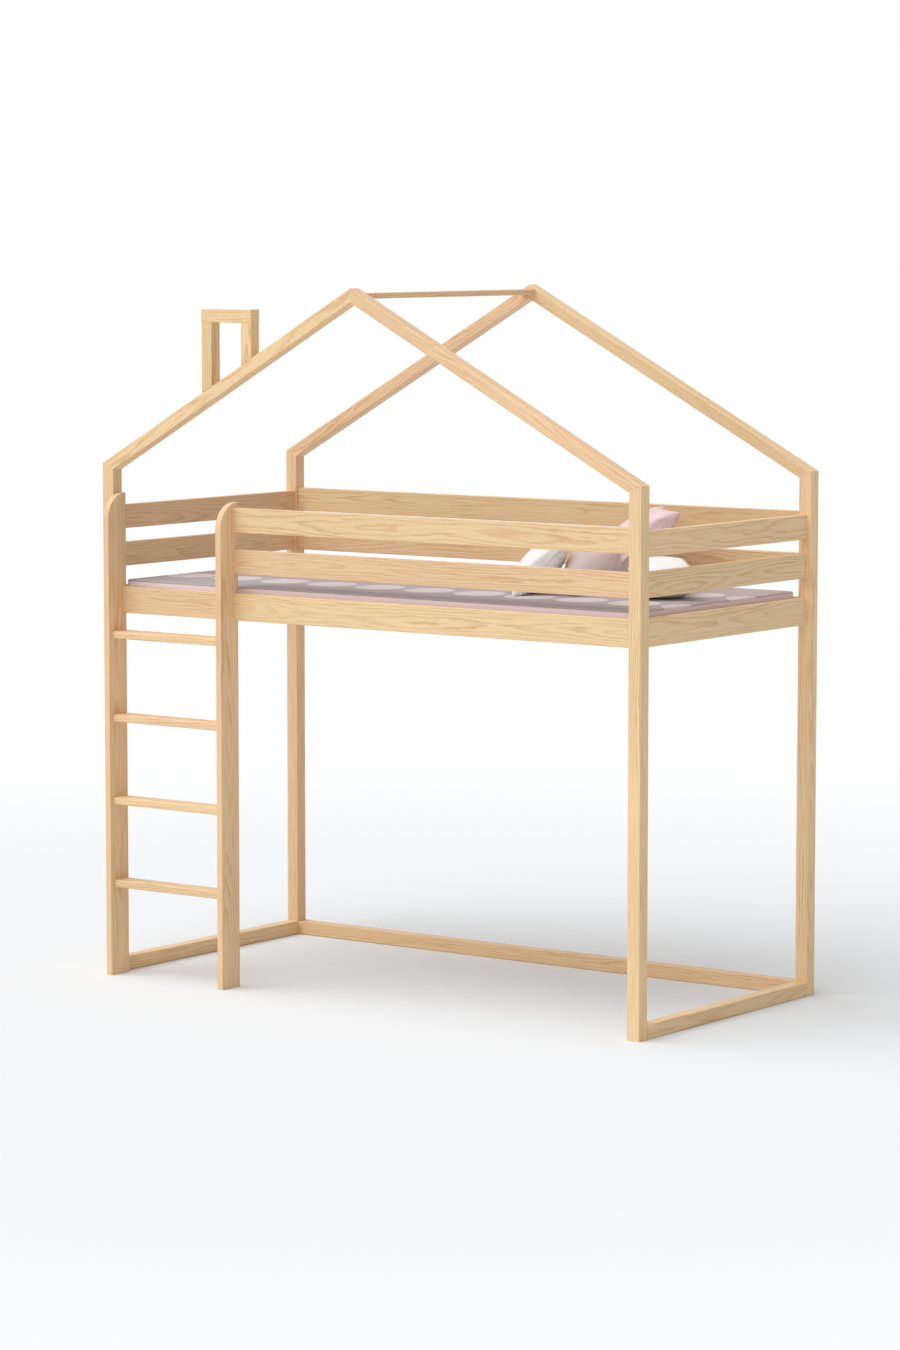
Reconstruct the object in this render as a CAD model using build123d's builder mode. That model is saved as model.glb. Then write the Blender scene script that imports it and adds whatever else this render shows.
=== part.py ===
from build123d import *
from math import cos, hypot, radians, sin, sqrt
import os

os.makedirs("parts", exist_ok=True)

# A child's house-shaped loft bed. X runs along the bed with the ladder at its left end,
# Y runs from the ladder side to the back, and the floor is Z = 0.

# Mattress, and the room that the frame leaves round it
mattress_length = 2000
mattress_width = 900
mattress_thick = 70
mattress_room = 5
mattress_round = 12
soft_gap = 0.3

# Square timber: posts and floor rails
post_side = 45
post_arris = 3

# Boards of the bed box
board_thick = 22
board_inset = 15
board_arris = 2.5
side_rail_low = 1182
side_rail_height = 86
guard_height = 78
low_guard_gap = 61.5
high_guard_gap = 54.5
end_guard_drop = 10

# Roof frame, from the top of the guards up
eave_rise = 126
roof_rise = 573.5
peak_left = 36
rafter_depth = 40
ridge_width = 50
ridge_thick = 18
ridge_drop = 15.5

# Chimney on the front left rafter
chimney_width = 202
chimney_side = 42
chimney_left = 530.5
chimney_rise = 208.7

# Ladder
stile_thick = 22
stile_depth = 88
left_stile_rise = 32
right_stile_rise = 17
stile_top_flat = 4
stile_arris = 2
ladder_clear = 445
rung_thick = 24
rung_inset = 15
rung_back_inset = 5
rung_arris = 4
rung_count = 4
rung_pitch = 271
top_rung_drop = 68.5
stile_dowel_rungs = (1, 2.5, 4)

# Slatted base
ledger_width = 22
ledger_height = 20
ledger_lift = 2
slat_width = 80
slat_thick = 16
slat_count = 14
slat_end_room = 3
slat_margin = 9.5
slat_arris = 2
strap_width = 25
strap_thick = 1.2
strap_inset = 50

# Joints: glued tenons on guards and rungs, round dowels elsewhere, screws in the base
tenon_thick = 10
tenon_shoulder = 12
rung_shoulder = 10
post_tenon = 12
stile_tenon = 8
tenon_room = 0.2
tenon_end_room = 1
dowel_radius = 4
dowel_length = 30
dowel_end_room = 1
dowel_rows = (0.26, 0.74)
fastener_flat_count = 8
fastener_room = 0.1
screw_radius = 2
screw_head_radius = 4
screw_head_height = 2
ledger_screw_length = 35
ledger_screw_places = (-300, 250, 800)
slat_screw_length = 30

# Places worked out from the sizes above
stile_proud = stile_depth - board_inset - board_thick
bed_length = mattress_length + 2 * mattress_room + 2 * post_side
bed_width = mattress_width + 2 * mattress_room + 2 * post_side
x_out = bed_length / 2
x_in = x_out - post_side
y_middle = stile_proud / 2
front_out = y_middle - bed_width / 2
front_in = front_out + post_side
back_out = y_middle + bed_width / 2
back_in = back_out - post_side
front_board = (front_out + board_inset, front_out + board_inset + board_thick)
back_board = (back_out - board_inset - board_thick, back_out - board_inset)
left_board = (board_inset - x_out, board_inset + board_thick - x_out)
right_board = (-left_board[1], -left_board[0])

side_rail_top = side_rail_low + side_rail_height
low_guard = side_rail_top + low_guard_gap
high_guard = low_guard + guard_height + high_guard_gap
guard_top = high_guard + guard_height
eave_height = guard_top + eave_rise
peak_height = eave_height + roof_rise
ledger_low = side_rail_low + ledger_lift
slat_low = ledger_low + ledger_height
slat_top = slat_low + slat_thick
mattress_low = slat_top + soft_gap
mattress_top = mattress_low + mattress_thick

left_stile = (-x_in, -x_in + stile_thick)
right_stile = (left_stile[1] + ladder_clear, left_stile[1] + ladder_clear + stile_thick)
stile_front = front_board[1] - stile_depth
stile_round = stile_depth - stile_top_flat
rung_depth = stile_depth - rung_inset - rung_back_inset
first_rung = side_rail_low - top_rung_drop - (rung_count - 1) * rung_pitch

# Cushions: width, height and thickness, the middle of the plan as measured from the head end and
# from the back edge of the mattress, the lean back and the turn of that lean towards the back
cushion_seam = 3
cushion_pull = 6
cushion_end_swell = 0.05
cushion_rows = (-1, -0.96, -0.85, -0.68, -0.45, -0.16, 0.16, 0.45, 0.68, 0.85, 0.96, 1)
cushion_lines = (1, 0.84, 0.68, 0.52, 0.36, 0.2)
cushions = {
    "white_cushion": (250, 244, 112, (598, 552.5), 45, 36),
    "mauve_cushion": (190, 205, 158, (439, 489), 38, 36),
    "pink_cushion": (290, 379, 140, (496, 212.5), 41, 44),
    "white_pillow": (340, 230, 130, (213, 443.5), 0, 36),
}

# Shapes that are cut out of each piece, filed under the piece's name
sockets = {}


def block(x, y, z):
    """Plain block that fills three ranges."""
    with BuildPart() as solid:
        with BuildSketch(Plane.XY.offset(z[0])):
            with Locations(((x[0] + x[1]) / 2, (y[0] + y[1]) / 2)):
                Rectangle(x[1] - x[0], y[1] - y[0])
        extrude(amount=z[1] - z[0])
    return solid.part


def grown(span, room):
    """A range with room added at both of its ends."""
    return (span[0] - room, span[1] + room)


def peg(seat, way, radius, length):
    """Fluted peg that stands on its seat and points along way."""
    with BuildPart() as solid:
        with BuildSketch(Plane(origin=seat, z_dir=way)):
            RegularPolygon(radius, fastener_flat_count)
        extrude(amount=length)
    return solid.part


def socket(name, shape):
    """Files a shape to be cut out of the named piece."""
    sockets.setdefault(name, []).append(shape)


def finish(name, piece):
    """Names a finished piece and writes it."""
    piece.part.label = name
    export_step(piece.part, f"parts/{name}.step")


def timber(name, x, y, z, grain, arris, tongues=(), ease=fillet):
    """Straight timber with eased long arrises, its tongues and its sockets."""
    core = block(x, y, z)
    with BuildPart() as piece:
        add(core)
        ease(piece.edges().filter_by(grain), arris)
        for tongue in tongues:
            add(tongue)
        for shape in sockets.get(name, []):
            add(shape, mode=Mode.SUBTRACT)
    finish(name, piece)


# Fluted dowels. Each stands on the bottom of its hole in one piece and runs into the other.
dowels = {"frame_dowels": [], "roof_dowels": []}


def dowel(group, seat, way, holders):
    """Adds a dowel to its group, and its hole to the two pieces that it joins."""
    dowels[group].append(peg(seat, way, dowel_radius, dowel_length))
    hole = peg(seat, way, dowel_radius + fastener_room, dowel_length + dowel_end_room)
    for name in holders:
        socket(name, hole)


# Rails across a bay, along X or along Y, with a joint at each end


def ends_of(span, depths):
    """Each end of a bay, the way out of it and how deep its joint goes."""
    return ((span[0], -1, depths[0]), (span[1], 1, depths[1]))


def tongue_depth(holder):
    """How deep a joint goes into a post or into a thin ladder stile."""
    return stile_tenon if "stile" in holder else post_tenon


def doweled_rail(name, grain, span, across, z, holders, arris):
    """Rail with two dowels, one above the other, in each end."""
    depths = [tongue_depth(holder) for holder in holders]
    middle = (across[0] + across[1]) / 2
    for (end, out, depth), holder in zip(ends_of(span, depths), holders):
        for row in dowel_rows:
            height = z[0] + row * (z[1] - z[0])
            deep = end + out * depth
            seat = (deep, middle, height) if grain == Axis.X else (middle, deep, height)
            way = (-out, 0, 0) if grain == Axis.X else (0, -out, 0)
            dowel("frame_dowels", seat, way, (name, holder))
    x, y = (span, across) if grain == Axis.X else (across, span)
    timber(name, x, y, z, grain, arris)


def tongued_guard(name, grain, span, across, z, holders):
    """Guard board with a glued tenon on each end."""
    tongues = []
    middle = (across[0] + across[1]) / 2
    thick = (middle - tenon_thick / 2, middle + tenon_thick / 2)
    tall = (z[0] + tenon_shoulder, z[1] - tenon_shoulder)
    depths = [tongue_depth(holder) for holder in holders]
    for (end, out, depth), holder in zip(ends_of(span, depths), holders):
        tip = end + out * depth
        hollow = tip + out * tenon_end_room
        tongue = tuple(sorted((end, tip)))
        mortise = tuple(sorted((end, hollow)))
        if grain == Axis.X:
            tongues.append(block(tongue, thick, tall))
            cut = block(mortise, grown(thick, tenon_room), grown(tall, tenon_room))
        else:
            tongues.append(block(thick, tongue, tall))
            cut = block(grown(thick, tenon_room), mortise, grown(tall, tenon_room))
        socket(holder, cut)
    x, y = (span, across) if grain == Axis.X else (across, span)
    timber(name, x, y, z, grain, board_arris, tongues)


# Ledgers that carry the slats, screwed to the inner faces of the long side rails
screws = {"ledger_screws": [], "slat_screws": []}


def screw_form(head, way, length, room):
    """Countersunk screw from the middle of its head inwards, with room added all round."""
    top = Plane(origin=head, z_dir=way)
    neck = top.offset(screw_head_height)
    with BuildPart() as solid:
        with BuildSketch(top):
            RegularPolygon(screw_head_radius + room, fastener_flat_count)
        with BuildSketch(neck):
            RegularPolygon(screw_radius + room, fastener_flat_count)
        loft()
        with BuildSketch(neck):
            RegularPolygon(screw_radius + room, fastener_flat_count)
        extrude(amount=length - screw_head_height)
    return solid.part


def screw(group, head, way, length, holders):
    """Adds a screw to its group, and its hole to the two pieces that it joins."""
    screws[group].append(screw_form(head, way, length, 0))
    hole = screw_form(head, way, length, fastener_room)
    for name in holders:
        socket(name, hole)


ledger_span = (-x_in, x_in)
slat_room = mattress_length / 2 - slat_margin - slat_width / 2
slat_places = [-slat_room + i * 2 * slat_room / (slat_count - 1) for i in range(slat_count)]
ledger_rows = {
    "front_ledger": (front_board[1], 1, "front_right_side_rail"),
    "back_ledger": (back_board[0], -1, "back_side_rail"),
}
for name, (face, inward, rail) in ledger_rows.items():
    inner = face + inward * ledger_width
    for place in ledger_screw_places:
        head = (place, inner, ledger_low + ledger_height / 2)
        screw("ledger_screws", head, (0, -inward, 0), ledger_screw_length, (name, rail))
    for slat in (0, slat_count - 1):
        head = (slat_places[slat], face + inward * ledger_width / 2, slat_top)
        holders = (name, f"slat_{slat + 1:02d}")
        screw("slat_screws", head, (0, 0, -1), slat_screw_length, holders)
    timber(name, ledger_span, tuple(sorted((face, inner))),
           (ledger_low, slat_low), Axis.X, slat_arris, ease=chamfer)

# Slats, and the two webbing bands that hold them at their pitch
slat_ends = (front_board[1] + slat_end_room, back_board[0] - slat_end_room)
for number, place in enumerate(slat_places, start=1):
    across = (place - slat_width / 2, place + slat_width / 2)
    timber(f"slat_{number:02d}", across, slat_ends, (slat_low, slat_top), Axis.Y, slat_arris,
           ease=chamfer)

strap_places = (
    front_board[1] + ledger_width + strap_inset,
    back_board[0] - ledger_width - strap_inset,
)
with BuildPart() as slat_straps:
    with BuildSketch(Plane.XY.offset(slat_low - strap_thick)):
        for place in strap_places:
            with Locations((0, place)):
                Rectangle(2 * slat_room + slat_width, strap_width)
    extrude(amount=strap_thick)
finish("slat_straps", slat_straps)

# Rails and guards of the bed box
side_rail = (side_rail_low, side_rail_top)
long_rows = {"low_guard": low_guard, "high_guard": high_guard}
end_rows = {"low_guard": low_guard, "high_guard": high_guard - end_guard_drop}
front_posts = ("front_left_post", "front_right_post")
back_posts = ("back_left_post", "back_right_post")
left_posts = ("front_left_post", "back_left_post")
right_posts = ("front_right_post", "back_right_post")
entry_bay = (left_stile[1], right_stile[0])
guard_bay = (right_stile[1], x_in)
back_bay = (-x_in, x_in)
end_bay = (front_in, back_in)

doweled_rail("front_left_side_rail", Axis.X, entry_bay, front_board, side_rail,
             ("left_stile", "right_stile"), board_arris)
doweled_rail("front_right_side_rail", Axis.X, guard_bay, front_board, side_rail,
             ("right_stile", "front_right_post"), board_arris)
doweled_rail("back_side_rail", Axis.X, back_bay, back_board, side_rail, back_posts, board_arris)
doweled_rail("left_end_rail", Axis.Y, end_bay, left_board, side_rail, left_posts, board_arris)
doweled_rail("right_end_rail", Axis.Y, end_bay, right_board, side_rail, right_posts, board_arris)
for row, low in long_rows.items():
    height = (low, low + guard_height)
    tongued_guard(f"front_{row}", Axis.X, guard_bay, front_board, height,
                  ("right_stile", "front_right_post"))
    tongued_guard(f"back_{row}", Axis.X, back_bay, back_board, height, back_posts)
for row, low in end_rows.items():
    height = (low, low + guard_height)
    tongued_guard(f"left_{row}", Axis.Y, end_bay, left_board, height, left_posts)
    tongued_guard(f"right_{row}", Axis.Y, end_bay, right_board, height, right_posts)

# Floor rails on three sides, open at the front
floor_rail = (0, post_side)
doweled_rail("back_floor_rail", Axis.X, back_bay, (back_in, back_out), floor_rail,
             back_posts, post_arris)
doweled_rail("left_floor_rail", Axis.Y, end_bay, (-x_out, -x_in), floor_rail,
             left_posts, post_arris)
doweled_rail("right_floor_rail", Axis.Y, end_bay, (x_in, x_out), floor_rail,
             right_posts, post_arris)

# Ladder: rungs tenoned between two deep stiles that stand proud of the posts
rung_span = (left_stile[1], right_stile[0])
rung_face = (stile_front + rung_inset, stile_front + rung_inset + rung_depth)
rung_tall = (rung_face[0] + rung_shoulder, rung_face[1] - rung_shoulder)
for number in range(rung_count):
    height = first_rung + number * rung_pitch
    rung = (height - rung_thick / 2, height + rung_thick / 2)
    thick = (height - tenon_thick / 2, height + tenon_thick / 2)
    tongues = []
    for (end, out, depth), holder in zip(
        ends_of(rung_span, (stile_tenon, stile_tenon)), ("left_stile", "right_stile")
    ):
        tongue = tuple(sorted((end, end + out * depth)))
        mortise = tuple(sorted((end, end + out * (depth + tenon_end_room))))
        tongues.append(block(tongue, rung_tall, thick))
        socket(holder, block(mortise, grown(rung_tall, tenon_room), grown(thick, tenon_room)))
    timber(f"rung_{number + 1}", rung_span, rung_face, rung, Axis.X, rung_arris, tongues)

stile_dowel_y = (front_out + front_board[1]) / 2
for rung in stile_dowel_rungs:
    seat = (left_stile[0] + stile_tenon, stile_dowel_y, first_rung + (rung - 1) * rung_pitch)
    dowel("frame_dowels", seat, (-1, 0, 0), ("left_stile", "front_left_post"))

for name, x, top in (
    ("left_stile", left_stile, guard_top + left_stile_rise),
    ("right_stile", right_stile, guard_top + right_stile_rise),
):
    with BuildPart() as stile:
        with BuildSketch(Plane.YZ.offset(x[0])):
            with BuildLine():
                Polyline(
                    (stile_front + stile_round, top),
                    (front_board[1], top),
                    (front_board[1], 0),
                    (stile_front, 0),
                    (stile_front, top - stile_round),
                )
                RadiusArc(
                    (stile_front, top - stile_round),
                    (stile_front + stile_round, top),
                    stile_round,
                )
            make_face()
        extrude(amount=x[1] - x[0])
        sides = stile.faces().filter_by(Axis.X).edges()
        foot = sides.group_by(Axis.Z)[0]
        fillet(sides - foot, stile_arris)
        for shape in sockets[name]:
            add(shape, mode=Mode.SUBTRACT)
    finish(name, stile)

# Roof frame. Outer corners of each gable, and the matching corners one rafter depth inside
eaves = {-1: (-x_out, eave_height), 1: (x_out, eave_height)}
peak = (-peak_left, peak_height)


def slope(side):
    """Rise of a rafter for each millimetre that it runs inwards."""
    return (peak_height - eave_height) / (x_out + side * peak_left)


def drop(side):
    """Depth of a rafter, measured straight down."""
    return rafter_depth * hypot(1, slope(side))


def eave_inner(side):
    """Lower end of the mitre between a post and its rafter."""
    return (side * x_in, eave_height + post_side * slope(side) - drop(side))


peak_shift = (drop(-1) - drop(1)) / (slope(-1) + slope(1))
peak_inner = (peak[0] + peak_shift, peak[1] - drop(-1) + peak_shift * slope(-1))

gables = {"front": (front_out, front_in), "back": (back_in, back_out)}
sides = {"left": -1, "right": 1}
for gable, depth in gables.items():
    middle = (depth[0] + depth[1]) / 2
    pair = [f"{gable}_left_rafter", f"{gable}_right_rafter"]
    for word, side in sides.items():
        outer, inner = eaves[side], eave_inner(side)
        mitre = Vector(outer[0] - inner[0], 0, outer[1] - inner[1]).normalized()
        across = Vector(-side * mitre.Z, 0, side * mitre.X)
        centre = Vector((outer[0] + inner[0]) / 2, middle, (outer[1] + inner[1]) / 2)
        seat = centre - across * (dowel_length / 2)
        holders = (f"{gable}_{word}_post", f"{gable}_{word}_rafter")
        dowel("roof_dowels", seat, across, holders)
    peak_middle = ((peak[0] + peak_inner[0]) / 2, (peak[1] + peak_inner[1]) / 2)
    seat = (peak_middle[0] - dowel_length / 2, middle, peak_middle[1])
    dowel("roof_dowels", seat, (1, 0, 0), pair)

# Ridge pole between the two peaks
ridge_top = peak_height - ridge_drop
ridge_x = (peak[0] - ridge_width / 2, peak[0] + ridge_width / 2)
for gable, (face, out) in {"front": (front_in, -1), "back": (back_in, 1)}.items():
    for word, side in sides.items():
        seat = (peak[0] + side * ridge_width / 4, face + out * post_tenon, ridge_top - ridge_thick / 2)
        holders = ("ridge_pole", f"{gable}_{word}_rafter")
        dowel("roof_dowels", seat, (0, -out, 0), holders)
timber("ridge_pole", ridge_x, (front_in, back_in), (ridge_top - ridge_thick, ridge_top),
       Axis.Y, board_arris)

# Chimney: a header on two legs, each cut to the slope of the roof
chimney_y = (front_out, front_out + chimney_side)
chimney_x = (-chimney_left - chimney_width / 2, -chimney_left + chimney_width / 2)
legs = {
    "left": (chimney_x[0], chimney_x[0] + chimney_side),
    "right": (chimney_x[1] - chimney_side, chimney_x[1]),
}


def roof_height(x):
    """Height of the left rafter's upper face."""
    return eave_height + (x + x_out) * slope(-1)


chimney_top = roof_height(-chimney_left) + chimney_rise
header_low = chimney_top - chimney_side
for word, x in legs.items():
    middle = ((x[0] + x[1]) / 2, (chimney_y[0] + chimney_y[1]) / 2)
    upper = (middle[0], middle[1], header_low + dowel_length / 2)
    lower = (middle[0], middle[1], roof_height(middle[0]) - dowel_length / 2)
    dowel("roof_dowels", upper, (0, 0, -1), (f"chimney_{word}_leg", "chimney_header"))
    dowel("roof_dowels", lower, (0, 0, 1), (f"chimney_{word}_leg", "front_left_rafter"))
    with BuildPart() as leg:
        with BuildSketch(Plane.XZ.offset(-chimney_y[1])):
            with BuildLine():
                Polyline(
                    (x[0], roof_height(x[0])),
                    (x[1], roof_height(x[1])),
                    (x[1], header_low),
                    (x[0], header_low),
                    close=True,
                )
            make_face()
        extrude(amount=chimney_side)
        fillet(leg.edges().filter_by(Axis.Z), board_arris)
        for shape in sockets[f"chimney_{word}_leg"]:
            add(shape, mode=Mode.SUBTRACT)
    finish(f"chimney_{word}_leg", leg)
timber("chimney_header", chimney_x, chimney_y, (header_low, chimney_top), Axis.X, board_arris)

for gable, depth in gables.items():
    for word, side in sides.items():
        name = f"{gable}_{word}_rafter"
        with BuildPart() as rafter:
            with BuildSketch(Plane.XZ.offset(-depth[1])):
                with BuildLine():
                    Polyline(eaves[side], peak, peak_inner, eave_inner(side), close=True)
                make_face()
            extrude(amount=post_side)
            fillet(rafter.edges().sort_by(SortBy.LENGTH)[-4:], post_arris)
            for shape in sockets[name]:
                add(shape, mode=Mode.SUBTRACT)
        finish(name, rafter)

        name = f"{gable}_{word}_post"
        with BuildPart() as post:
            with BuildSketch(Plane.XZ.offset(-depth[1])):
                with BuildLine():
                    Polyline(
                        (side * x_out, 0),
                        eaves[side],
                        eave_inner(side),
                        (side * x_in, 0),
                        close=True,
                    )
                make_face()
            extrude(amount=post_side)
            fillet(post.edges().filter_by(Axis.Z), post_arris)
            for shape in sockets[name]:
                add(shape, mode=Mode.SUBTRACT)
        finish(name, post)

for name, group in {**dowels, **screws}.items():
    with BuildPart() as fasteners:
        for shape in group:
            add(shape)
    finish(name, fasteners)

with BuildPart() as mattress:
    with BuildSketch(Plane.XY.offset(mattress_low)):
        with Locations((0, y_middle)):
            Rectangle(mattress_length, mattress_width)
    extrude(amount=mattress_thick)
    fillet(mattress.edges(), mattress_round)
finish("mattress", mattress)


def cushion(name, width, height, thick, place, lean, turn):
    """Stuffed cushion lofted up its height, crowned in the middle and drawn in at its sides."""
    lean, turn = radians(lean), radians(turn)
    wide = (-sin(turn), cos(turn), 0)
    upward = (cos(lean) * cos(turn), cos(lean) * sin(turn), sin(lean))
    middle = (mattress_length / 2 - place[0], y_middle + mattress_width / 2 - place[1], 0)
    base = Plane(origin=middle, x_dir=wide, z_dir=upward)
    crown = (thick / 2 - cushion_seam) / (1 - cushion_lines[-1] ** 2)
    with BuildPart() as filling:
        for row in cushion_rows:
            swell = cushion_end_swell + (1 - cushion_end_swell) * sqrt(1 - row**2)
            side = width / 2 - cushion_pull * swell
            right = [
                (side - (1 - line) * width / 2 * swell, cushion_seam + (1 - line**2) * crown * swell)
                for line in cushion_lines
            ]
            upper = right + [(-x, y) for x, y in reversed(right)]
            lower = [(x, -y) for x, y in reversed(upper)]
            with BuildSketch(base.offset(row * height / 2)):
                with BuildLine():
                    Polyline(*upper, *lower, close=True)
                make_face()
        loft(ruled=True)
    lift = mattress_top + soft_gap - filling.part.bounding_box().min.Z
    with BuildPart() as seated:
        add(filling.part.moved(Location((0, 0, lift))))
    finish(name, seated)


for name, form in cushions.items():
    cushion(name, *form)
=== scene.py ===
from math import cos, pi, radians, sin

import bpy
import numpy as np
from mathutils import Matrix, Vector


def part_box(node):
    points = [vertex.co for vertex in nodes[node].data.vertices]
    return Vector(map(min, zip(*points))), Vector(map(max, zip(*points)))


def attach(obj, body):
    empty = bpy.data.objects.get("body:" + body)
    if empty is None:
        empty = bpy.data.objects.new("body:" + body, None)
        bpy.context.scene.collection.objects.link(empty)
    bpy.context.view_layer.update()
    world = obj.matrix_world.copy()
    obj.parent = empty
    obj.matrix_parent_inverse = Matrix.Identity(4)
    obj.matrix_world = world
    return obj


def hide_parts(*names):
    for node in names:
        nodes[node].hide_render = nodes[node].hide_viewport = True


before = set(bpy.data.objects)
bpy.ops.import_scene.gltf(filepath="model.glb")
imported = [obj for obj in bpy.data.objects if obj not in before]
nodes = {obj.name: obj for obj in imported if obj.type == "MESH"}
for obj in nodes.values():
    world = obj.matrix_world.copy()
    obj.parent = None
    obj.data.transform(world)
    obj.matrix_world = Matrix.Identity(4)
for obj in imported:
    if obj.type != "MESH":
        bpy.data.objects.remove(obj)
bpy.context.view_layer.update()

mm = 0.001
print("frame loaded:", len(nodes), "nodes")


def linear(hexColour):
    # sRGB hex to the linear colour that Blender's sockets take
    parts = [int(hexColour[i:i + 2], 16) / 255 for i in (1, 3, 5)]
    return [p / 12.92 if p <= 0.04045 else ((p + 0.055) / 1.055) ** 2.4 for p in parts] + [1.0]


def addNode(tree, kind, inputs=(), **settings):
    # adds one node, sets its properties, then sets or links each socket named in inputs
    node = tree.nodes.new(kind)
    for key, value in settings.items():
        setattr(node, key, value)
    for key, value in dict(inputs).items():
        if isinstance(value, bpy.types.NodeSocket):
            tree.links.new(value, node.inputs[key])
        else:
            node.inputs[key].default_value = value
    return node


def newMaterial(name):
    # an empty material with its output node
    material = bpy.data.materials.new(name)
    material.use_nodes = True
    tree = material.node_tree
    tree.nodes.clear()
    return material, tree, tree.nodes.new("ShaderNodeOutputMaterial")


def setRamp(ramp, stops):
    # stops are (place, hex colour) pairs in order
    while len(ramp.elements) > 1:
        ramp.elements.remove(ramp.elements[-1])
    ramp.elements[0].position, ramp.elements[0].color = stops[0][0], linear(stops[0][1])
    for place, colour in stops[1:]:
        ramp.elements.new(place).color = linear(colour)


# Knot-free softwood boards, planed, with a clear satin lacquer. To the eye: honey cream boards,
# with flame-shaped rings a little darker than the wood between them, fine fibre streaks along the
# board, plain end grain, and a soft broad highlight with no sharp reflection.

pine = {
    "early": "#EECEA2",        # the wide pale part of each ring
    "middle": "#E6BF91",
    "late": "#C99E6C",         # the narrow dark part of each ring
    "ringSpacing": 6.8 * mm,
    "pithDepth": 36 * mm,      # from the middle of the board to the heart of the log
    "wander": 23 * mm,         # how far the rings wander along a board, which makes the flames
    "wanderLength": 620 * mm,
    "ripple": 5.0 * mm,        # small waves in each ring line
    "rippleLength": 120 * mm,
    "fibreWidth": 3.0 * mm,    # drawn coarser than real fibres, which are too fine to show
    "fibreLength": 95 * mm,
    "roughness": 0.5,
    "bump": 0.25 * mm,
    "lateShare": 0.66,         # how dark the rings get on the way from early to late
    "fibreShade": (-0.24, 0.32),
    "toneSpread": 0.05,        # between boards
    "drift": 0.035,            # along one board
    "hueSpread": 0.006,
}

basePine = dict(pine, early="#E6CDA6", middle="#DDC097", late="#C8A577", roughness=0.68,
                bump=0.35 * mm)


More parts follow.
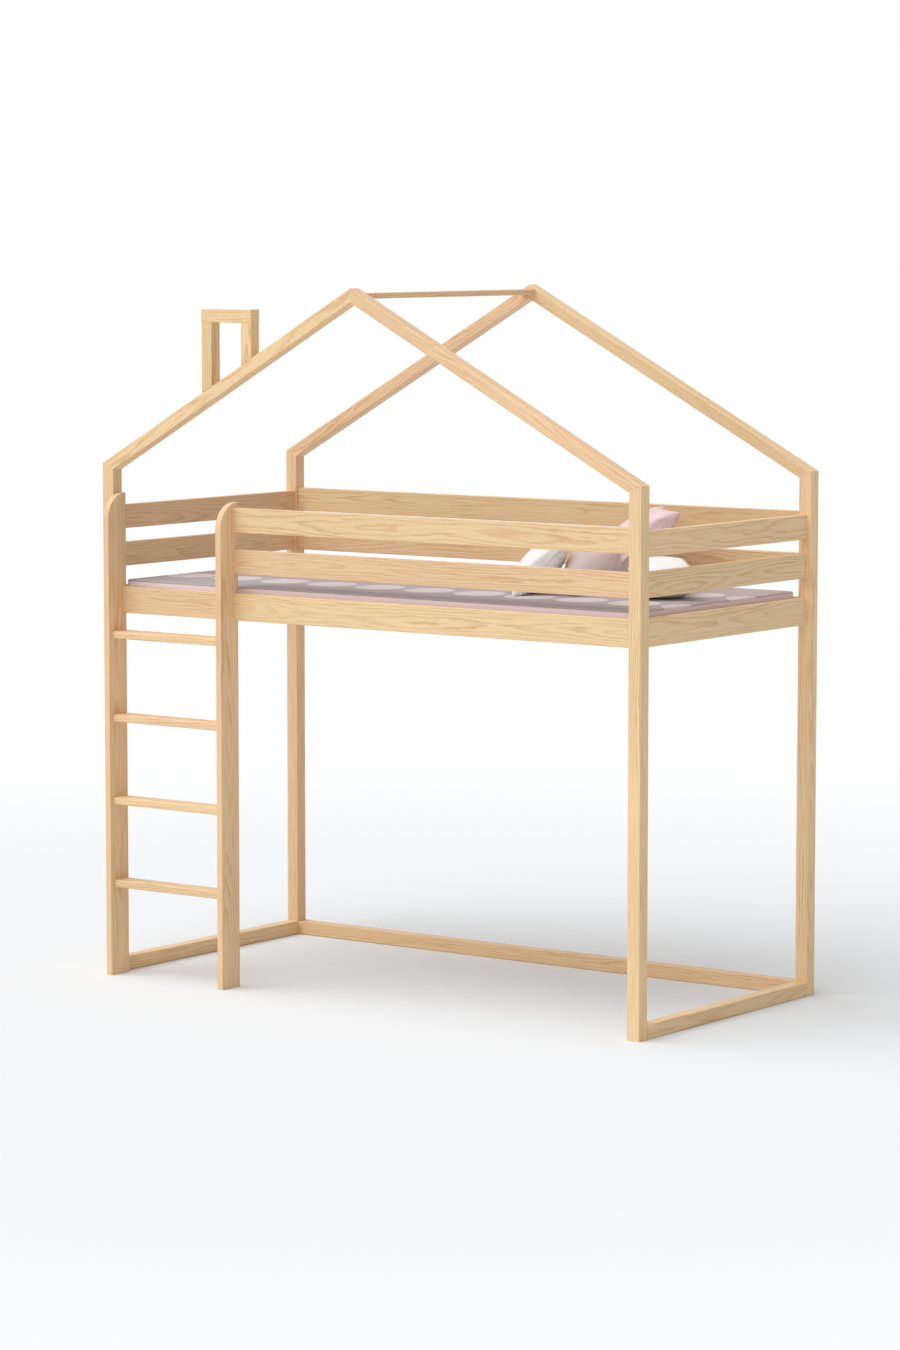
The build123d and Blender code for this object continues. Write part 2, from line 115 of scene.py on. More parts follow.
def woodMaterial(name, wood, centre, grain, thin, seed):
    # the pattern lives in the board's own space: x along the grain, z through the thickness, so
    # that the wide faces are flat sawn and show flames.
    # ring number = distance from a wandering heart line / ring spacing
    material, tree, output = newMaterial(name)
    chance = np.random.default_rng(seed)
    along, through = Vector(grain).normalized(), Vector(thin)
    turn = Matrix((along, through.cross(along), through)).transposed().to_euler()
    coords = addNode(tree, "ShaderNodeTexCoord").outputs["Object"]
    board = addNode(tree, "ShaderNodeMapping", {"Vector": coords, "Location": centre,
                    "Rotation": turn}, vector_type="TEXTURE").outputs["Vector"]
    # each board is cut from another place along and round the log
    side = chance.choice([-1, 1])
    shift = (chance.uniform(-20, 20), chance.uniform(-12, 12) * mm, side * wood["pithDepth"]
             * chance.uniform(0.75, 1.35))
    spot = addNode(tree, "ShaderNodeVectorMath", {0: board, 1: shift}, operation="ADD").outputs[0]

    slow = addNode(tree, "ShaderNodeVectorMath", {0: spot, 1: (1 / wood["wanderLength"], 4, 4)},
                   operation="MULTIPLY").outputs[0]
    wander = addNode(tree, "ShaderNodeTexNoise", {"Vector": slow, "Scale": 1.0, "Detail": 1.0,
                     "Roughness": 0.4}, noise_dimensions="3D").outputs["Color"]
    quick = addNode(tree, "ShaderNodeVectorMath", {0: spot, 1: (1 / wood["rippleLength"], 60, 60)},
                    operation="MULTIPLY").outputs[0]
    ripple = addNode(tree, "ShaderNodeTexNoise", {"Vector": quick, "Scale": 1.0, "Detail": 3.0,
                     "Roughness": 0.6}, noise_dimensions="3D").outputs["Color"]
    wanderMove = addNode(tree, "ShaderNodeVectorMath", {0: wander, 1: (0.5, 0.5, 0.5)},
                         operation="SUBTRACT").outputs[0]
    wanderMove = addNode(tree, "ShaderNodeVectorMath", {0: wanderMove, 1: (0, 2 * wood["wander"],
                         2.6 * wood["wander"])}, operation="MULTIPLY").outputs[0]
    rippleMove = addNode(tree, "ShaderNodeVectorMath", {0: ripple, 1: (0.5, 0.5, 0.5)},
                         operation="SUBTRACT").outputs[0]
    rippleMove = addNode(tree, "ShaderNodeVectorMath", {0: rippleMove, 1: (0, 2 * wood["ripple"],
                         2 * wood["ripple"])}, operation="MULTIPLY").outputs[0]
    moved = addNode(tree, "ShaderNodeVectorMath", {0: spot, 1: wanderMove}, operation="ADD").outputs[0]
    moved = addNode(tree, "ShaderNodeVectorMath", {0: moved, 1: rippleMove}, operation="ADD").outputs[0]
    cross = addNode(tree, "ShaderNodeVectorMath", {0: moved, 1: (0, 1, 1)},
                    operation="MULTIPLY").outputs[0]
    distance = addNode(tree, "ShaderNodeVectorMath", {0: cross}, operation="LENGTH").outputs["Value"]
    rings = addNode(tree, "ShaderNodeMath", {0: distance, 1: wood["ringSpacing"]},
                    operation="DIVIDE").outputs[0]
    part = addNode(tree, "ShaderNodeMath", {0: rings}, operation="FRACT").outputs[0]

    # along a ring the late wood is stronger in some places than in others
    strength = addNode(tree, "ShaderNodeTexNoise", {"Vector": quick, "Scale": 0.35, "Detail": 2.0},
                       noise_dimensions="3D").outputs["Fac"]
    rise = addNode(tree, "ShaderNodeMapRange", {"Value": part, "From Min": 0.25, "From Max": 0.86},
                   interpolation_type="SMOOTHSTEP").outputs["Result"]
    fall = addNode(tree, "ShaderNodeMapRange", {"Value": part, "From Min": 0.86, "From Max": 1.0,
                   "To Min": 1.0, "To Max": 0.0}, interpolation_type="SMOOTHSTEP").outputs["Result"]
    late = addNode(tree, "ShaderNodeMath", {0: rise, 1: fall}, operation="MULTIPLY").outputs[0]
    strong = addNode(tree, "ShaderNodeMapRange", {"Value": strength, "From Min": 0.3, "From Max": 0.7,
                     "To Min": 0.35, "To Max": 1.0}).outputs["Result"]
    late = addNode(tree, "ShaderNodeMath", {0: late, 1: strong}, operation="MULTIPLY").outputs[0]

    fine = addNode(tree, "ShaderNodeVectorMath", {0: spot, 1: (1 / wood["fibreLength"],
                   1 / wood["fibreWidth"], 1 / wood["fibreWidth"])}, operation="MULTIPLY").outputs[0]
    fibre = addNode(tree, "ShaderNodeTexNoise", {"Vector": fine, "Scale": 1.0, "Detail": 3.0,
                    "Roughness": 0.6}, noise_dimensions="3D").outputs["Fac"]
    fibreShade = addNode(tree, "ShaderNodeMapRange", {"Value": fibre, "From Min": 0.3,
                         "From Max": 0.7, "To Min": wood["fibreShade"][0],
                         "To Max": wood["fibreShade"][1]}).outputs["Result"]
    tone = addNode(tree, "ShaderNodeMath", {0: late, 1: wood["lateShare"]}, operation="MULTIPLY").outputs[0]
    tone = addNode(tree, "ShaderNodeMath", {0: tone, 1: fibreShade}, operation="ADD",
                   use_clamp=True).outputs[0]
    ramp = addNode(tree, "ShaderNodeValToRGB", {"Fac": tone})
    setRamp(ramp.color_ramp, [(0.0, wood["early"]), (0.4, wood["middle"]), (1.0, wood["late"])])

    # slow warm and cool drift along the board, and its own place in the range of the boards
    drift = addNode(tree, "ShaderNodeTexNoise", {"Vector": slow, "Scale": 0.8, "Detail": 1.0},
                    noise_dimensions="3D").outputs["Fac"]
    level = 1 + chance.uniform(-1, 1) * wood["toneSpread"]
    lift = addNode(tree, "ShaderNodeMapRange", {"Value": drift, "From Min": 0.3, "From Max": 0.7,
                   "To Min": level - wood["drift"], "To Max": level + wood["drift"]}).outputs["Result"]
    colour = addNode(tree, "ShaderNodeHueSaturation", {"Color": ramp.outputs["Color"],
                     "Value": lift, "Hue": 0.5 + chance.uniform(-1, 1) * wood["hueSpread"]}).outputs["Color"]

    gloss = addNode(tree, "ShaderNodeMapRange", {"Value": tone, "To Min": wood["roughness"] - 0.04,
                    "To Max": wood["roughness"] + 0.08}).outputs["Result"]
    bump = addNode(tree, "ShaderNodeBump", {"Height": tone, "Distance": wood["bump"],
                   "Strength": 0.35}, invert=True).outputs["Normal"]
    shader = addNode(tree, "ShaderNodeBsdfPrincipled", {"Base Color": colour, "Roughness": gloss,
                     "Normal": bump, "IOR": 1.5, "Specular IOR Level": 0.35})
    tree.links.new(shader.outputs["BSDF"], output.inputs["Surface"])
    return material


def boardCentre(name):
    low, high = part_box(name)
    return tuple((a + b) / 2 for a, b in zip(low, high))


def rafterGrain(name):
    # from the eave to the peak, read from the box of the rafter
    low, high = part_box(name)
    run = (high[0] - low[0]) * (1 if "left" in name else -1)
    return (run, 0, high[2] - low[2])


def grainOf(name):
    if "rafter" in name:
        return rafterGrain(name)
    low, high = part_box(name)
    longest = int(np.argmax(np.subtract(high, low)))
    return tuple(1.0 if i == longest else 0.0 for i in range(3))


def thinSideOf(name, grain, seed):
    # the world axis through the board's thickness. Square timber takes either of its two
    low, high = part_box(name)
    sizes = np.subtract(high, low)
    if "rafter" in name:
        return (0.0, 1.0, 0.0)
    sizes[int(np.argmax(np.abs(grain)))] = np.inf
    order = np.argsort(sizes)
    square = sizes[order[1]] - sizes[order[0]] < 10 * mm
    thinnest = order[seed % 2] if square else order[0]
    return tuple(1.0 if i == thinnest else 0.0 for i in range(3))


def setMaterial(name, material):
    slots = nodes[name].material_slots
    if not slots:
        nodes[name].data.materials.append(material)
    for place in slots:
        place.material = material


softNodes = ["mattress", "white_cushion", "mauve_cushion", "pink_cushion", "white_pillow"]
hardNodes = ["frame_dowels", "roof_dowels", "ledger_screws", "slat_screws", "slat_straps"]
seed = 11
for name in sorted(nodes):
    if name in softNodes + hardNodes:
        continue
    wood = basePine if name.startswith("slat_") or "ledger" in name else pine
    kind = "planedPine" if wood is basePine else "lacqueredPine"
    seed += 1
    grain = grainOf(name)
    thin = thinSideOf(name, grain, seed)
    setMaterial(name, woodMaterial(f"{kind}_{name}", wood, boardCentre(name), grain, thin, seed))
print("boards finished:", seed - 11)


# Fasteners and webbing

def placeInMillimetres(tree):
    # Object coordinates in millimetres
    coords = addNode(tree, "ShaderNodeTexCoord").outputs["Object"]
    return addNode(tree, "ShaderNodeVectorMath", {0: coords, 1: (1000, 1000, 1000)},
                   operation="MULTIPLY").outputs[0]


beech = {"light": "#D9B184", "dark": "#C2925F", "fleck": 1.5}   # millimetres


def beechDowels():
    # turned beech dowel: pinkish brown with darker flecks about 1.5 mm across
    material, tree, output = newMaterial("turnedBeech")
    place = placeInMillimetres(tree)
    flecks = addNode(tree, "ShaderNodeTexNoise", {"Vector": place, "Scale": 1 / beech["fleck"],
                     "Detail": 3.0, "Roughness": 0.65}).outputs["Fac"]
    ramp = addNode(tree, "ShaderNodeValToRGB", {"Fac": flecks})
    setRamp(ramp.color_ramp, [(0.3, beech["dark"]), (0.6, beech["light"])])
    shader = addNode(tree, "ShaderNodeBsdfPrincipled", {"Base Color": ramp.outputs["Color"],
                     "Roughness": 0.62, "IOR": 1.5})
    tree.links.new(shader.outputs["BSDF"], output.inputs["Surface"])
    return material


zinc = {"colour": "#C9CBCC", "dark": "#A9ABAA", "grain": 1.2}


def zincScrews():
    # zinc plated steel: grey metal with a faint crystal mottle and soft reflections
    material, tree, output = newMaterial("zincPlatedSteel")
    mottle = addNode(tree, "ShaderNodeTexNoise", {"Vector": placeInMillimetres(tree),
                     "Scale": 1 / zinc["grain"], "Detail": 2.0}).outputs["Fac"]
    ramp = addNode(tree, "ShaderNodeValToRGB", {"Fac": mottle})
    setRamp(ramp.color_ramp, [(0.35, zinc["dark"]), (0.65, zinc["colour"])])
    rough = addNode(tree, "ShaderNodeMapRange", {"Value": mottle, "To Min": 0.28, "To Max": 0.45})
    shader = addNode(tree, "ShaderNodeBsdfPrincipled", {"Base Color": ramp.outputs["Color"],
                     "Metallic": 1.0, "Roughness": rough.outputs["Result"]})
    tree.links.new(shader.outputs["BSDF"], output.inputs["Surface"])
    return material


# shade is painted shade: the darker colour given to the grooves between the ribs
webbing = {"colour": "#E4E0D4", "shade": "#C9C3B2", "ribPitch": 2.5}   # millimetres between ribs


def cottonWebbing():
    # woven cotton band: natural off-white ribs across the band every 2.5 mm, quite matt, with painted shade
    # in the grooves between the ribs
    material, tree, output = newMaterial("wovenCottonWebbing")
    place = placeInMillimetres(tree)
    # a wave texture of scale 1 repeats every 2 pi / 20
    ribs = addNode(tree, "ShaderNodeTexWave", {"Vector": place,
                   "Scale": 2 * pi / 20 / webbing["ribPitch"],
                   "Distortion": 0.4, "Detail": 1.0}, wave_type="BANDS", bands_direction="X",
                   wave_profile="SIN").outputs["Fac"]
    # painted shade: the ramp darkens the grooves between the ribs, where the bump dips
    ramp = addNode(tree, "ShaderNodeValToRGB", {"Fac": ribs})
    setRamp(ramp.color_ramp, [(0.0, webbing["shade"]), (0.7, webbing["colour"])])
    bump = addNode(tree, "ShaderNodeBump", {"Height": ribs, "Distance": 0.3 * mm, "Strength": 0.6})
    shader = addNode(tree, "ShaderNodeBsdfPrincipled", {"Base Color": ramp.outputs["Color"],
                     "Roughness": 0.9, "Sheen Weight": 0.2, "Normal": bump.outputs["Normal"]})
    tree.links.new(shader.outputs["BSDF"], output.inputs["Surface"])
    return material


turnedBeech, zincPlated = beechDowels(), zincScrews()
for name in ("frame_dowels", "roof_dowels"):
    setMaterial(name, turnedBeech)
for name in ("ledger_screws", "slat_screws"):
    setMaterial(name, zincPlated)
setMaterial("slat_straps", cottonWebbing())
print("fasteners and webbing finished")


# Cloth

threadPitch = 1.6 * mm


def wovenCotton(name, cloth, pattern=None):
    # plain woven cotton: matt, a soft sheen at grazing angles, and a weave that shows only
    # from close to. Threads are drawn 1.6 mm apart, because real ones at 0.4 mm don't show.
    # pattern, if given, takes the tree and gives the colour socket
    material, tree, output = newMaterial(name)
    flat = addNode(tree, "ShaderNodeUVMap", uv_map="cloth").outputs["UV"]
    turns = 2 * pi / threadPitch
    phase = addNode(tree, "ShaderNodeVectorMath", {0: flat, 1: (turns, turns, 0)},
                    operation="MULTIPLY").outputs[0]
    parts = addNode(tree, "ShaderNodeSeparateXYZ", {0: phase})
    warp = addNode(tree, "ShaderNodeMath", {0: parts.outputs["X"]}, operation="SINE").outputs[0]
    weft = addNode(tree, "ShaderNodeMath", {0: parts.outputs["Y"]}, operation="SINE").outputs[0]
    weave = addNode(tree, "ShaderNodeMath", {0: warp, 1: weft}, operation="MULTIPLY").outputs[0]
    place = placeInMillimetres(tree)
    slubs = addNode(tree, "ShaderNodeTexNoise", {"Vector": place, "Scale": 0.12, "Detail": 4.0,
                    "Roughness": 0.6}).outputs["Fac"]
    cloud = addNode(tree, "ShaderNodeTexNoise", {"Vector": place, "Scale": 0.012,
                    "Detail": 2.0}).outputs["Fac"]
    if pattern:
        base = pattern(tree)
    else:
        ramp = addNode(tree, "ShaderNodeValToRGB", {"Fac": cloud})
        setRamp(ramp.color_ramp, [(0.3, cloth["shade"]), (0.7, cloth["colour"])])
        base = ramp.outputs["Color"]
    # painted light and shade: the weave and the slubs lighten the colour where they stand up and darken it in
    # the dips, in step with the bump
    weavePaintedShade = addNode(tree, "ShaderNodeMapRange", {"Value": weave, "From Min": -1.0, "To Min": 0.975,
                         "To Max": 1.015}).outputs["Result"]
    slubPaintedShade = addNode(tree, "ShaderNodeMapRange", {"Value": slubs, "From Min": 0.3, "From Max": 0.7,
                        "To Min": 0.98, "To Max": 1.02}).outputs["Result"]
    level = addNode(tree, "ShaderNodeMath", {0: weavePaintedShade, 1: slubPaintedShade}, operation="MULTIPLY").outputs[0]
    colour = addNode(tree, "ShaderNodeHueSaturation", {"Color": base, "Value": level}).outputs["Color"]
    height = addNode(tree, "ShaderNodeMath", {0: slubs, 1: 0.8, 2: weave},
                     operation="MULTIPLY_ADD").outputs[0]
    bump = addNode(tree, "ShaderNodeBump", {"Height": height, "Distance": 0.12 * mm,
                   "Strength": 0.5}).outputs["Normal"]
    shader = addNode(tree, "ShaderNodeBsdfPrincipled", {"Base Color": colour, "Roughness": 0.86,
                     "Sheen Weight": 0.25, "Sheen Roughness": 0.5, "Normal": bump,
                     "Specular IOR Level": 0.2})
    tree.links.new(shader.outputs["BSDF"], output.inputs["Surface"])
    return material


def closedSheets(name, upper, lower, band, flat):
    # a closed skin: an upper and a lower grid of points, joined round their rims by the rows of
    # band, which run from the upper rim to the lower. flat gives the cloth's own two coordinates
    rows, columns = upper.shape[:2]
    count = rows * columns
    ids = np.arange(count).reshape(rows, columns)
    rim = np.concatenate([ids[:, 0], ids[-1, 1:], ids[-2::-1, -1], ids[0, -2:0:-1]])
    quads = np.stack([ids[:-1, :-1], ids[1:, :-1], ids[1:, 1:], ids[:-1, 1:]], -1).reshape(-1, 4)
    points = np.concatenate([upper.reshape(-1, 3), lower.reshape(-1, 3), band.reshape(-1, 3)])
    rings = np.concatenate([rim[None], 2 * count + np.arange(len(band) * len(rim)).reshape(-1, len(rim)),
                            rim[None] + count])
    onward = np.roll(rings, -1, axis=1)
    sides = np.stack([rings[:-1], rings[1:], onward[1:], onward[:-1]], -1).reshape(-1, 4)
    faces = np.concatenate([quads, quads[:, ::-1] + count, sides])

    # the cloth's coordinates: flat on the two sheets, and distance round and down on the band
    flatPoints = flat.reshape(-1, 2)
    rimPoints = points[np.append(rim, rim[0])]
    around = np.concatenate([[0], np.cumsum(np.linalg.norm(np.diff(rimPoints, axis=0), axis=1))])
    down = np.concatenate([[0], np.cumsum(np.linalg.norm(np.diff(points[rings[:, 0]], axis=0), axis=1))])
    a, b = np.meshgrid(np.arange(len(rings) - 1), np.arange(len(rim)), indexing="ij")
    sideCloth = np.stack([np.stack([around[b], down[a]], -1), np.stack([around[b], down[a + 1]], -1),
                          np.stack([around[b + 1], down[a + 1]], -1), np.stack([around[b + 1], down[a]], -1)],
                         -2).reshape(-1, 4, 2)
    cloth = np.concatenate([flatPoints[quads], flatPoints[quads[:, ::-1]], sideCloth])

    mesh = bpy.data.meshes.new(name)
    mesh.from_pydata(points.tolist(), [], faces.tolist())
    layer = mesh.uv_layers.new(name="cloth")
    layer.data.foreach_set("uv", cloth.reshape(-1).astype(np.float32))
    mesh.polygons.foreach_set("use_smooth", np.ones(len(faces), bool))
    mesh.update()
    piece = bpy.data.objects.new(name, mesh)
    bpy.context.scene.collection.objects.link(piece)
    return piece


# A thin foam mattress in a cotton cover: pink sides, a seam just under the top edge, and a
# mauve top with large pale dots. The top falls a little at its edge and is slack.

mattress = {
    "corner": 20 * mm,         # rounding of the corners in plan
    "edge": 9 * mm,            # how far in the top starts to round over
    "seamDrop": 8 * mm,        # from the top down to the upper seam
    "seamDepth": 1.6 * mm,
    "bulge": 1.8 * mm,
    "cell": 12.5 * mm,
    "slack": 1.5 * mm,
    "slackReach": 30 * mm,     # how far from the edge the slack grows to its full depth
    "fall": 2.2 * mm,          # how far the top drops at its edge
    "fallReach": 28 * mm,
    "skin": 0.2 * mm,          # kept clear of the solid's top and bottom
    "pucker": 0.5 * mm,
    "puckerPitch": 43 * mm,
    "puckerGroup": 190 * mm,
    "puckerReach": 9 * mm,
    "pink": "#FAE6EA",
    "mauve": "#B3A7AC",
    "dot": "#DED4D6",
    "dotWidth": 162.0,         # this and the next three are in millimetres
    "dotPitch": (194.0, 363.0),   # along the bed, across it
    "dotStart": (646.0, -198.0),
    "dotSoft": 1.5,
}


def mattressPattern(tree):
    # mauve with pale dots in straight rows above the seam, pink below it
    place = placeInMillimetres(tree)
    start = (-mattress["dotStart"][0], -mattress["dotStart"][1], 0)
    shifted = addNode(tree, "ShaderNodeVectorMath", {0: place, 1: start}, operation="ADD").outputs[0]
    along, across = (pitch / 2 for pitch in mattress["dotPitch"])
    # the place in its cell, measured from the middle of the dot
    net = addNode(tree, "ShaderNodeVectorMath", {0: shifted, 1: (along, across, 1),
                  2: (-along, -across, -1)}, operation="WRAP").outputs[0]
    net = addNode(tree, "ShaderNodeVectorMath", {0: net, 1: (1, 1, 0)}, operation="MULTIPLY").outputs[0]
    nearest = addNode(tree, "ShaderNodeVectorMath", {0: net}, operation="LENGTH").outputs["Value"]
    edge = mattress["dotWidth"] / 2
    dot = addNode(tree, "ShaderNodeMapRange", {"Value": nearest, "From Min": edge - mattress["dotSoft"],
                  "From Max": edge + mattress["dotSoft"], "To Min": 1.0, "To Max": 0.0}).outputs["Result"]
    top = addNode(tree, "ShaderNodeMix", {0: dot, 6: linear(mattress["mauve"]),
                  7: linear(mattress["dot"])}, data_type="RGBA").outputs[2]
    height = addNode(tree, "ShaderNodeSeparateXYZ", {0: place}).outputs["Z"]
    seam = (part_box("mattress")[1][2] - mattress["seamDrop"]) * 1000
    above = addNode(tree, "ShaderNodeMath", {0: height, 1: seam}, operation="GREATER_THAN").outputs[0]
    return addNode(tree, "ShaderNodeMix", {0: above, 6: linear(mattress["pink"]), 7: top},
                   data_type="RGBA").outputs[2]


def gridLines(half, corner, cell):
    # places across one side: close together in the corners, about one cell apart between them
    near = np.linspace(half - corner, half, 6)
    middle = np.linspace(-half + corner, half - corner, int(2 * half / cell))
    return np.concatenate([-near[:0:-1], middle, near[1:]])


def roundedPlan(x, y, halfX, halfY, corner):
    # the corner squares of the grid are bent to quarter discs: (a, b) goes to
    # (a sqrt(1 - b^2 / 2), b sqrt(1 - a^2 / 2)), which leaves their inner sides where they were
    a = np.clip((np.abs(x) - halfX + corner) / corner, 0, 1)
    b = np.clip((np.abs(y) - halfY + corner) / corner, 0, 1)
    newX = x - np.sign(x) * a * corner * (1 - np.sqrt(1 - b ** 2 / 2))
    newY = y - np.sign(y) * b * corner * (1 - np.sqrt(1 - a ** 2 / 2))
    return newX, newY


def makeMattress():
    low, high = (np.array(corner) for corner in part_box("mattress"))
    middle, half = (low + high) / 2, (high - low) / 2
    inner = half[:2] - mattress["edge"]
    corner = mattress["corner"] - mattress["edge"]
    x, y = np.meshgrid(gridLines(inner[0], corner, mattress["cell"]),
                       gridLines(inner[1], corner, mattress["cell"]), indexing="ij")
    planX, planY = roundedPlan(x, y, inner[0], inner[1], corner)
    # slack: a sum of long shallow waves, less near the edge, and never above the top of the foam
    chance = np.random.default_rng(5)
    waves = sum(np.sin(chance.uniform(6, 26) * x + chance.uniform(9, 30) * y + chance.uniform(0, 6))
                * chance.uniform(0.4, 1) for _ in range(9)) / 9
    fromEdge = np.minimum(inner[0] - np.abs(x), inner[1] - np.abs(y))
    fall = mattress["fall"] * np.exp(-fromEdge / mattress["fallReach"])
    inside = 1 - np.exp(-fromEdge / mattress["slackReach"])
    topZ = high[2] - mattress["skin"] - fall - mattress["slack"] * (0.5 + 0.5 * waves) * inside
    upper = np.stack([planX + middle[0], planY + middle[1], topZ], -1)
    bottomZ = np.full_like(topZ, low[2] + mattress["skin"])
    lower = np.stack([planX + middle[0], planY + middle[1], bottomZ], -1)

    # the side band: a profile of (outwards, down) carried round the rim along its normals.
    # round over, seam groove, side that bulges as a sine, seam groove, round under
    depth = high[2] - low[2]
    edge, drop, groove = mattress["edge"], mattress["seamDrop"], mattress["seamDepth"]
    bulge = np.linspace(0, 1, 9)
    profile = np.array(
        [(edge * 0.38, 2.7 * mm), (edge * 0.7, 3.9 * mm), (edge * 0.93, 5.6 * mm),
         (edge - 0.4 * mm, drop - 0.9 * mm), (edge - groove, drop)]
        + [(edge - mattress["bulge"] + mattress["bulge"] * np.sin(pi * t) ** 0.6 - 0.1 * mm,
            drop + 1 * mm + t * (depth - 2 * drop - 2 * mm)) for t in bulge]
        + [(edge - groove, depth - drop), (edge - 0.6 * mm, depth - drop + 1 * mm),
           (edge * 0.8, depth - 2.6 * mm), (edge * 0.4, depth - 0.8 * mm)])
    ring = np.concatenate([upper[:, 0], upper[-1, 1:], upper[-2::-1, -1], upper[0, -2:0:-1]])
    along = np.roll(ring, -1, axis=0) - np.roll(ring, 1, axis=0)
    normal = np.stack([along[:, 1], -along[:, 0]], -1)
    normal /= np.linalg.norm(normal, axis=1, keepdims=True)
    travel = np.cumsum(np.linalg.norm(along, axis=1)) / 2
    pucker = (mattress["pucker"] * np.sin(travel * 2 * pi / mattress["puckerPitch"])
              * np.sin(travel * 2 * pi / mattress["puckerGroup"] + 1))
    band = np.empty((len(profile), len(ring), 3))
    nearSeam = np.exp(-((profile[:, 1:] - drop) / mattress["puckerReach"]) ** 2)
    out = np.minimum(profile[:, :1] - 0.1 * mm + pucker[None] * nearSeam, edge)
    band[..., :2] = ring[None, :, :2] + normal[None] * out[..., None]
    band[..., 2] = high[2] - profile[:, 1:]
    return closedSheets("coveredMattress", upper, lower, band, np.stack([x, y], -1))


mattressPiece = makeMattress()
mattressPiece.data.materials.append(wovenCotton("cottonMattressCover", mattress, mattressPattern))
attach(mattressPiece, "mattress")
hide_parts("mattress")
print("mattress finished")


# Two cotton sheets sewn round the edge and stuffed: full in the middle, drawn in along the
# sides, with sharp corners and small puckers at the seam. The cushions lean towards the head end.

cushions = {
    "white_cushion": {"piece": "whiteCushion", "body": "white_cushion", "size": (250, 244, 112),
                      "place": (402, -77), "lean": 45, "turn": 36, "fullness": 0.8, "pressure": 1.5,
                      "slot": "white_fabric", "fill": 0.7, "colour": "#FCFBF9", "shade": "#F6F5F3"},
    "mauve_cushion": {"piece": "mauveCushion", "body": "mauve_cushion", "size": (190, 205, 158),
                      "place": (561, -13.5), "lean": 38, "turn": 36, "fullness": 0.5, "pressure": 4.0,
                      "slot": "mauve_fabric", "fill": 0.9, "colour": "#E0CBC8", "shade": "#D4BEBC"},
    "pink_cushion": {"piece": "pinkCushion", "body": "pink_cushion", "size": (290, 379, 140),
                     "place": (504, 263), "lean": 41, "turn": 44, "fullness": 0.8, "pressure": 1.5,
                     "slot": "pink_fabric", "fill": 0.7, "colour": "#EDD4D4", "shade": "#E6CBCC"},
    "white_pillow": {"piece": "whitePillow", "body": "pillow", "size": (340, 230, 130),
                     "place": (787, 32), "lean": 0, "turn": 36, "fullness": 0.5, "pressure": 4.0,
                     "slot": "white_fabric", "fill": 0.9, "colour": "#FCFBFA", "shade": "#F5F5F5"},
}
sewing = {"cells": 46, "seam": 2.6 * mm, "pull": 7 * mm, "rest": 6 * mm, "frames": 20,
          "cap": 22 * mm, "crowding": 0.45, "start": 0.82, "lump": 0.05, "seed": 40}


def puff(piece, pressure):
    # cloth under pressure, with no gravity. No point moves further than the cap
    scene = bpy.context.scene
    modifier = piece.modifiers.new("filling", "CLOTH")
    settings = modifier.settings
    settings.quality = 5
    settings.mass = 0.15
    settings.tension_stiffness = settings.compression_stiffness = 20
    settings.shear_stiffness = 8
    settings.bending_stiffness = 0.6
    settings.use_pressure = True
    settings.uniform_pressure_force = pressure
    settings.effector_weights.gravity = 0
    modifier.point_cache.frame_start, modifier.point_cache.frame_end = 1, sewing["frames"]
    count = len(piece.data.vertices)
    before, after = np.empty(count * 3), np.empty(count * 3)
    piece.data.vertices.foreach_get("co", before)
    for frameNumber in range(1, sewing["frames"] + 1):
        scene.frame_set(frameNumber)
    puffed = piece.evaluated_get(bpy.context.evaluated_depsgraph_get())
    puffed.data.vertices.foreach_get("co", after)
    piece.modifiers.remove(modifier)
    scene.frame_set(1)
    before, after = before.reshape(-1, 3), after.reshape(-1, 3)
    move = after - before
    far = np.linalg.norm(move, axis=1, keepdims=True)
    return before + move * np.minimum(1, sewing["cap"] / np.maximum(far, 1e-9))


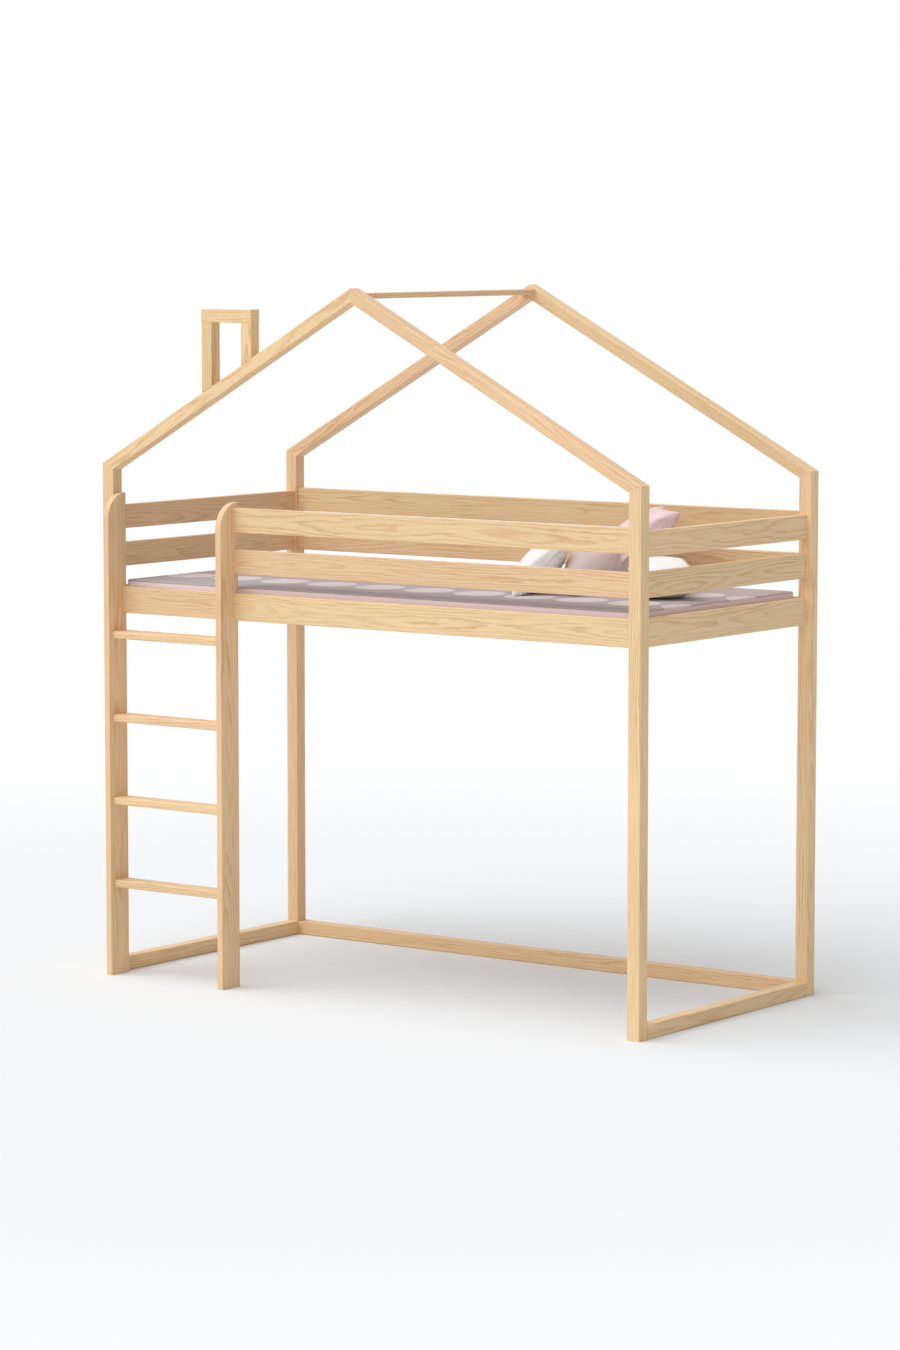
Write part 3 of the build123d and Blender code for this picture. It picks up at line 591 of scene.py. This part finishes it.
def makeCushion(node, form, seedNumber):
    # local axes: u across the width, v up the height, w through the thickness.
    # before filling, w = seam / 2 + start (thick - seam) / 2 ((1 - u^2) (1 - v^2))^fullness, with
    # small lumps, and each side is drawn in by pull (1 - v^2). Cells crowd towards the seams
    width, height, thick = (s * mm for s in form["size"])
    even = np.linspace(-1, 1, sewing["cells"])
    crowded = np.sin(np.linspace(-pi / 2, pi / 2, sewing["cells"]))
    ends = crowded * sewing["crowding"] + even * (1 - sewing["crowding"])
    u, v = np.meshgrid(ends, ends, indexing="ij")
    chance = np.random.default_rng(seedNumber)
    lumps = sum(np.sin(chance.uniform(2, 5) * u + chance.uniform(2, 5) * v + chance.uniform(0, 6))
                for _ in range(5)) / 5
    crown = np.clip((1 - u ** 2) * (1 - v ** 2), 0, None) ** form["fullness"]
    crown = crown * (1 + sewing["lump"] * lumps)
    across = u * (width / 2 - sewing["pull"] * (1 - v ** 2))
    up = v * (height / 2 - sewing["pull"] * (1 - u ** 2))
    through = sewing["seam"] / 2 + (thick / 2 - sewing["seam"] / 2) * crown * sewing["start"]
    upper = np.stack([across, up, through], -1)
    lower = np.stack([across, up, -through], -1)
    band = np.empty((0, 4 * (sewing["cells"] - 1), 3))
    cloth = np.stack([u * width / 2, v * height / 2], -1)
    piece = closedSheets(form["piece"], upper, lower, band, cloth)
    points = np.array([vertex.co for vertex in piece.data.vertices])
    points = puff(piece, form["pressure"])
    # the stuffed shape is brought to the size of its solid, then leaned, turned and set down
    reach = np.abs(points).max(axis=0)
    points *= np.array([width / 2, height / 2, thick / 2]) / reach
    lean, turn = radians(form["lean"]), radians(form["turn"])
    wide = np.array([-sin(turn), cos(turn), 0])
    upward = np.array([cos(lean) * cos(turn), cos(lean) * sin(turn), sin(lean)])
    points = points[:, :1] * wide + points[:, 1:2] * upward + points[:, 2:] * np.cross(upward, wide)
    points[:, :2] += np.array(form["place"]) * mm
    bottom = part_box(node)[0][2]
    points[:, 2] += bottom - sewing["rest"] - points[:, 2].min()
    points[:, 2] = np.maximum(points[:, 2], bottom)
    piece.data.vertices.foreach_set("co", points.reshape(-1).astype(np.float32))
    piece.data.update()
    smooth = piece.modifiers.new("smooth", "SUBSURF")
    smooth.levels = smooth.render_levels = 1
    piece.data.materials.append(wovenCotton(f"wovenCotton_{form['piece']}", form))
    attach(piece, form["body"])
    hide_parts(node)


for number, (node, form) in enumerate(cushions.items()):
    makeCushion(node, form, sewing["seed"] + number)
print("cushions finished")


# Floor, light and camera

studio = {
    "floor": "#EAEDF0",
    "fadeFrom": 2.2,           # metres from the bed where the floor starts to turn to white
    "fadeTo": 6.0,
    "floorReach": 40,
    "floorLines": 9,
    "floorDrop": 0.5 * mm,     # below the feet, so that the two don't flicker
    "sky": 0.40,
    "key": 2.55,
    "keyFrom": (-0.27, -0.44, 0.85),
    "keySpread": radians(75),  # a wide lamp, so that shadows have no edges
    "lens": 116.13,
    "sensorHeight": 36,
    "seesTo": 200,
    "cameraPlace": (8.2092, -11.1687, 2.4543),
    "cameraTurn": (radians(90 - 5.987), 0, radians(36.32)),
}


def onlyForSight(tree):
    # 1 for rays from the camera or off a glossy or clear surface, 0 for rays that carry light
    rays = addNode(tree, "ShaderNodeLightPath")
    seen = addNode(tree, "ShaderNodeMath", {0: rays.outputs["Is Camera Ray"],
                   1: rays.outputs["Is Glossy Ray"]}, operation="MAXIMUM").outputs[0]
    return addNode(tree, "ShaderNodeMath", {0: seen, 1: rays.outputs["Is Transmission Ray"]},
                   operation="MAXIMUM").outputs[0]


def paintedFloor():
    # matt white studio floor that turns to the white of the background with distance
    material, tree, output = newMaterial("mattStudioFloor")
    place = addNode(tree, "ShaderNodeTexCoord").outputs["Object"]
    away = addNode(tree, "ShaderNodeVectorMath", {0: place}, operation="LENGTH").outputs["Value"]
    fade = addNode(tree, "ShaderNodeMapRange", {"Value": away, "From Min": studio["fadeFrom"],
                   "From Max": studio["fadeTo"]}, interpolation_type="SMOOTHSTEP").outputs["Result"]
    white = addNode(tree, "ShaderNodeMath", {0: fade, 1: onlyForSight(tree)},
                    operation="MULTIPLY").outputs[0]
    paint = addNode(tree, "ShaderNodeBsdfDiffuse", {"Color": linear(studio["floor"])}).outputs[0]
    glow = addNode(tree, "ShaderNodeEmission", {"Strength": 1.0}).outputs[0]
    mix = addNode(tree, "ShaderNodeMixShader", {0: white, 1: paint, 2: glow}).outputs[0]
    tree.links.new(mix, output.inputs["Surface"])
    return material


side = np.linspace(-1, 1, studio["floorLines"]) * studio["floorReach"]
floorX, floorY = np.meshgrid(side, side, indexing="ij")
floorPoints = np.stack([floorX, floorY, np.full_like(floorX, -studio["floorDrop"])], -1).reshape(-1, 3)
floorIds = np.arange(floorX.size).reshape(floorX.shape)
floorFaces = np.stack([floorIds[:-1, :-1], floorIds[1:, :-1], floorIds[1:, 1:], floorIds[:-1, 1:]],
                      -1).reshape(-1, 4)
floorMesh = bpy.data.meshes.new("studioFloor")
floorMesh.from_pydata(floorPoints.tolist(), [], floorFaces.tolist())
floorMesh.materials.append(paintedFloor())
studioFloor = bpy.data.objects.new("studioFloor", floorMesh)
bpy.context.scene.collection.objects.link(studioFloor)

world = bpy.data.worlds.new("studioSky")
bpy.context.scene.world = world
world.use_nodes = True
world.node_tree.nodes.clear()
strength = addNode(world.node_tree, "ShaderNodeMapRange", {"Value": onlyForSight(world.node_tree),
                   "To Min": studio["sky"], "To Max": 1.0}).outputs["Result"]
sky = addNode(world.node_tree, "ShaderNodeBackground", {"Color": (1, 1, 1, 1), "Strength": strength})
addNode(world.node_tree, "ShaderNodeOutputWorld", {"Surface": sky.outputs[0]})

keyLight = bpy.data.lights.new("softKey", "SUN")
keyLight.energy, keyLight.angle = studio["key"], studio["keySpread"]
keyLamp = bpy.data.objects.new("softKey", keyLight)
keyLamp.rotation_euler = Vector(studio["keyFrom"]).to_track_quat("Z", "Y").to_euler()
bpy.context.scene.collection.objects.link(keyLamp)

cameraData = bpy.data.cameras.new("photoCamera")
cameraData.lens, cameraData.clip_end = studio["lens"], studio["seesTo"]
cameraData.sensor_fit, cameraData.sensor_height = "VERTICAL", studio["sensorHeight"]
photoCamera = bpy.data.objects.new("photoCamera", cameraData)
photoCamera.location, photoCamera.rotation_euler = studio["cameraPlace"], studio["cameraTurn"]
bpy.context.scene.collection.objects.link(photoCamera)
bpy.context.scene.camera = photoCamera
bpy.context.scene.view_settings.view_transform = "Standard"
print("floor, light and camera finished")
